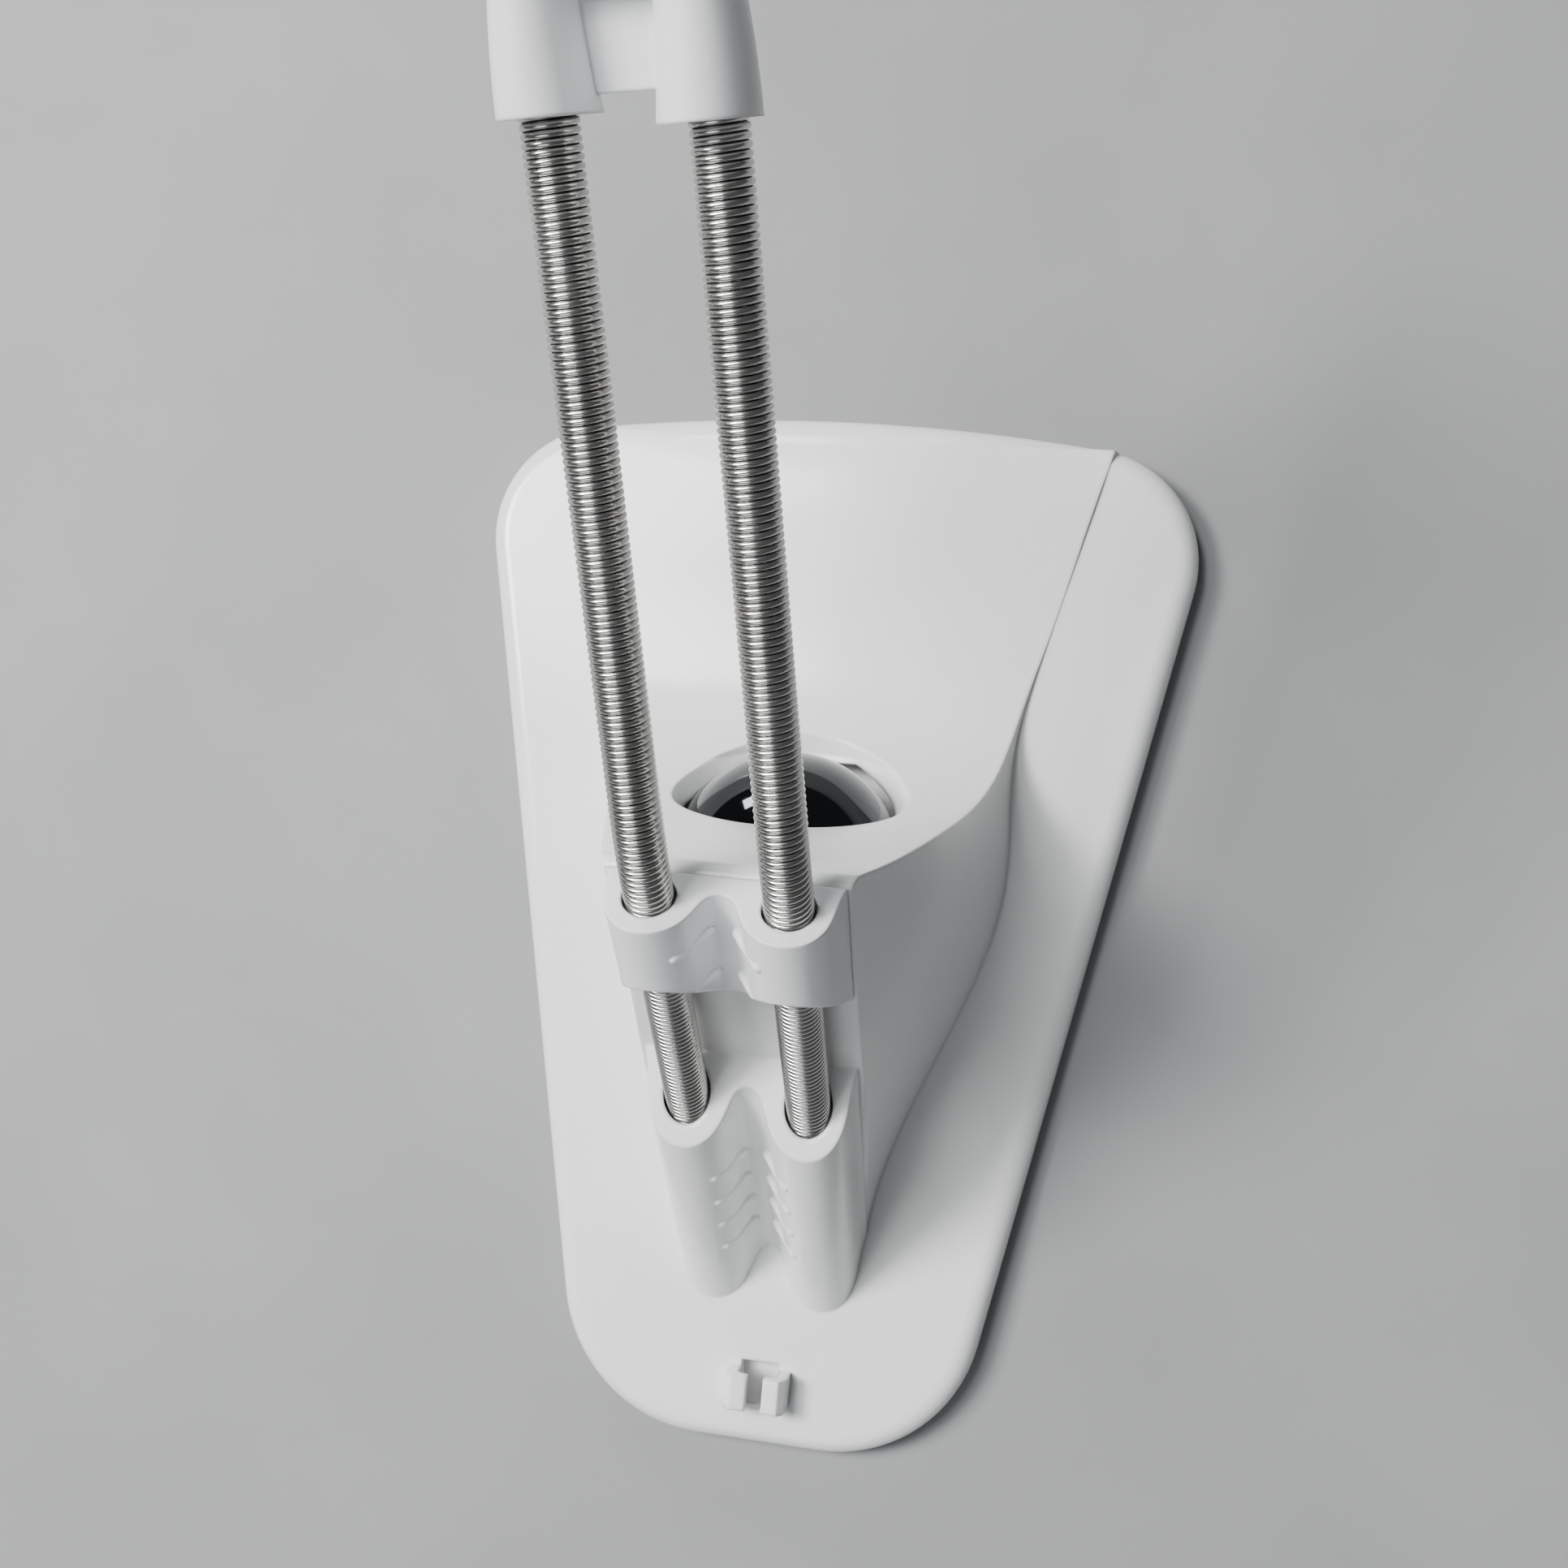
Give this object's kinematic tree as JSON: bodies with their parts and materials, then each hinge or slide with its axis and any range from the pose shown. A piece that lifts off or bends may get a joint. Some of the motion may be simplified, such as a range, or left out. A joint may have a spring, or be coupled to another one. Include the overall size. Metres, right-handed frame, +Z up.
{
  "type": "mouse bungee",
  "caption": "Weighted mouse bungee: flat tapered base, raked tower with a polished ballast ball in its front, twin coil-spring arms, a height slider and a slotted cable head.",
  "frame": {"origin": "centre of the whole part's footprint, head included, at the level of the surface it stands on", "axes": "+Z up, -Y towards the wide front end where the mouse is, +Y towards the narrow rear end with the cable clip, +X to the bungee's left"},
  "size_m": [0.0756, 0.1282, 0.0849],
  "materials": {
    "white_gloss": "smooth glossy moulding",
    "white_satin": "satin moulding",
    "white_matte": "matte moulding",
    "polished_ball": "polished dark steel",
    "spring_steel": "bright drawn wire",
    "plug_steel": "turned",
    "screw_steel": "zinc plated",
    "foot_rubber": "matte"
  },
  "bodies": {
    "base": {"base_shell": "white_gloss", "base_cover": "white_matte", "ballast_ball": "polished_ball", "cover_screws": "screw_steel", "lower_plug_left": "plug_steel", "lower_plug_right": "plug_steel", "spring_left": "spring_steel", "spring_right": "spring_steel", "foot_front_left": "foot_rubber", "foot_front_right": "foot_rubber", "foot_rear_left": "foot_rubber", "foot_rear_right": "foot_rubber"},
    "slider": {"slider": "white_satin"},
    "head": {"head": "white_satin", "upper_plug_left": "plug_steel", "upper_plug_right": "plug_steel"}
  },
  "joints": [
    {"name": "height_slide", "type": "slide", "parent": "base", "child": "slider", "axis": [0, -0.6691, 0.7431], "range_m": [-0.0102, 0]},
    {"name": "head_sway", "type": "hinge", "parent": "base", "child": "head", "pos_m": [0.00237, -0.01982, 0.06012], "axis": [1, 0, 0], "range_deg": [-25, 25], "stiffness_Nm_per_rad": 0.003, "springref_deg": -13.52, "deforming": ["spring_left", "spring_right"]}
  ]
}
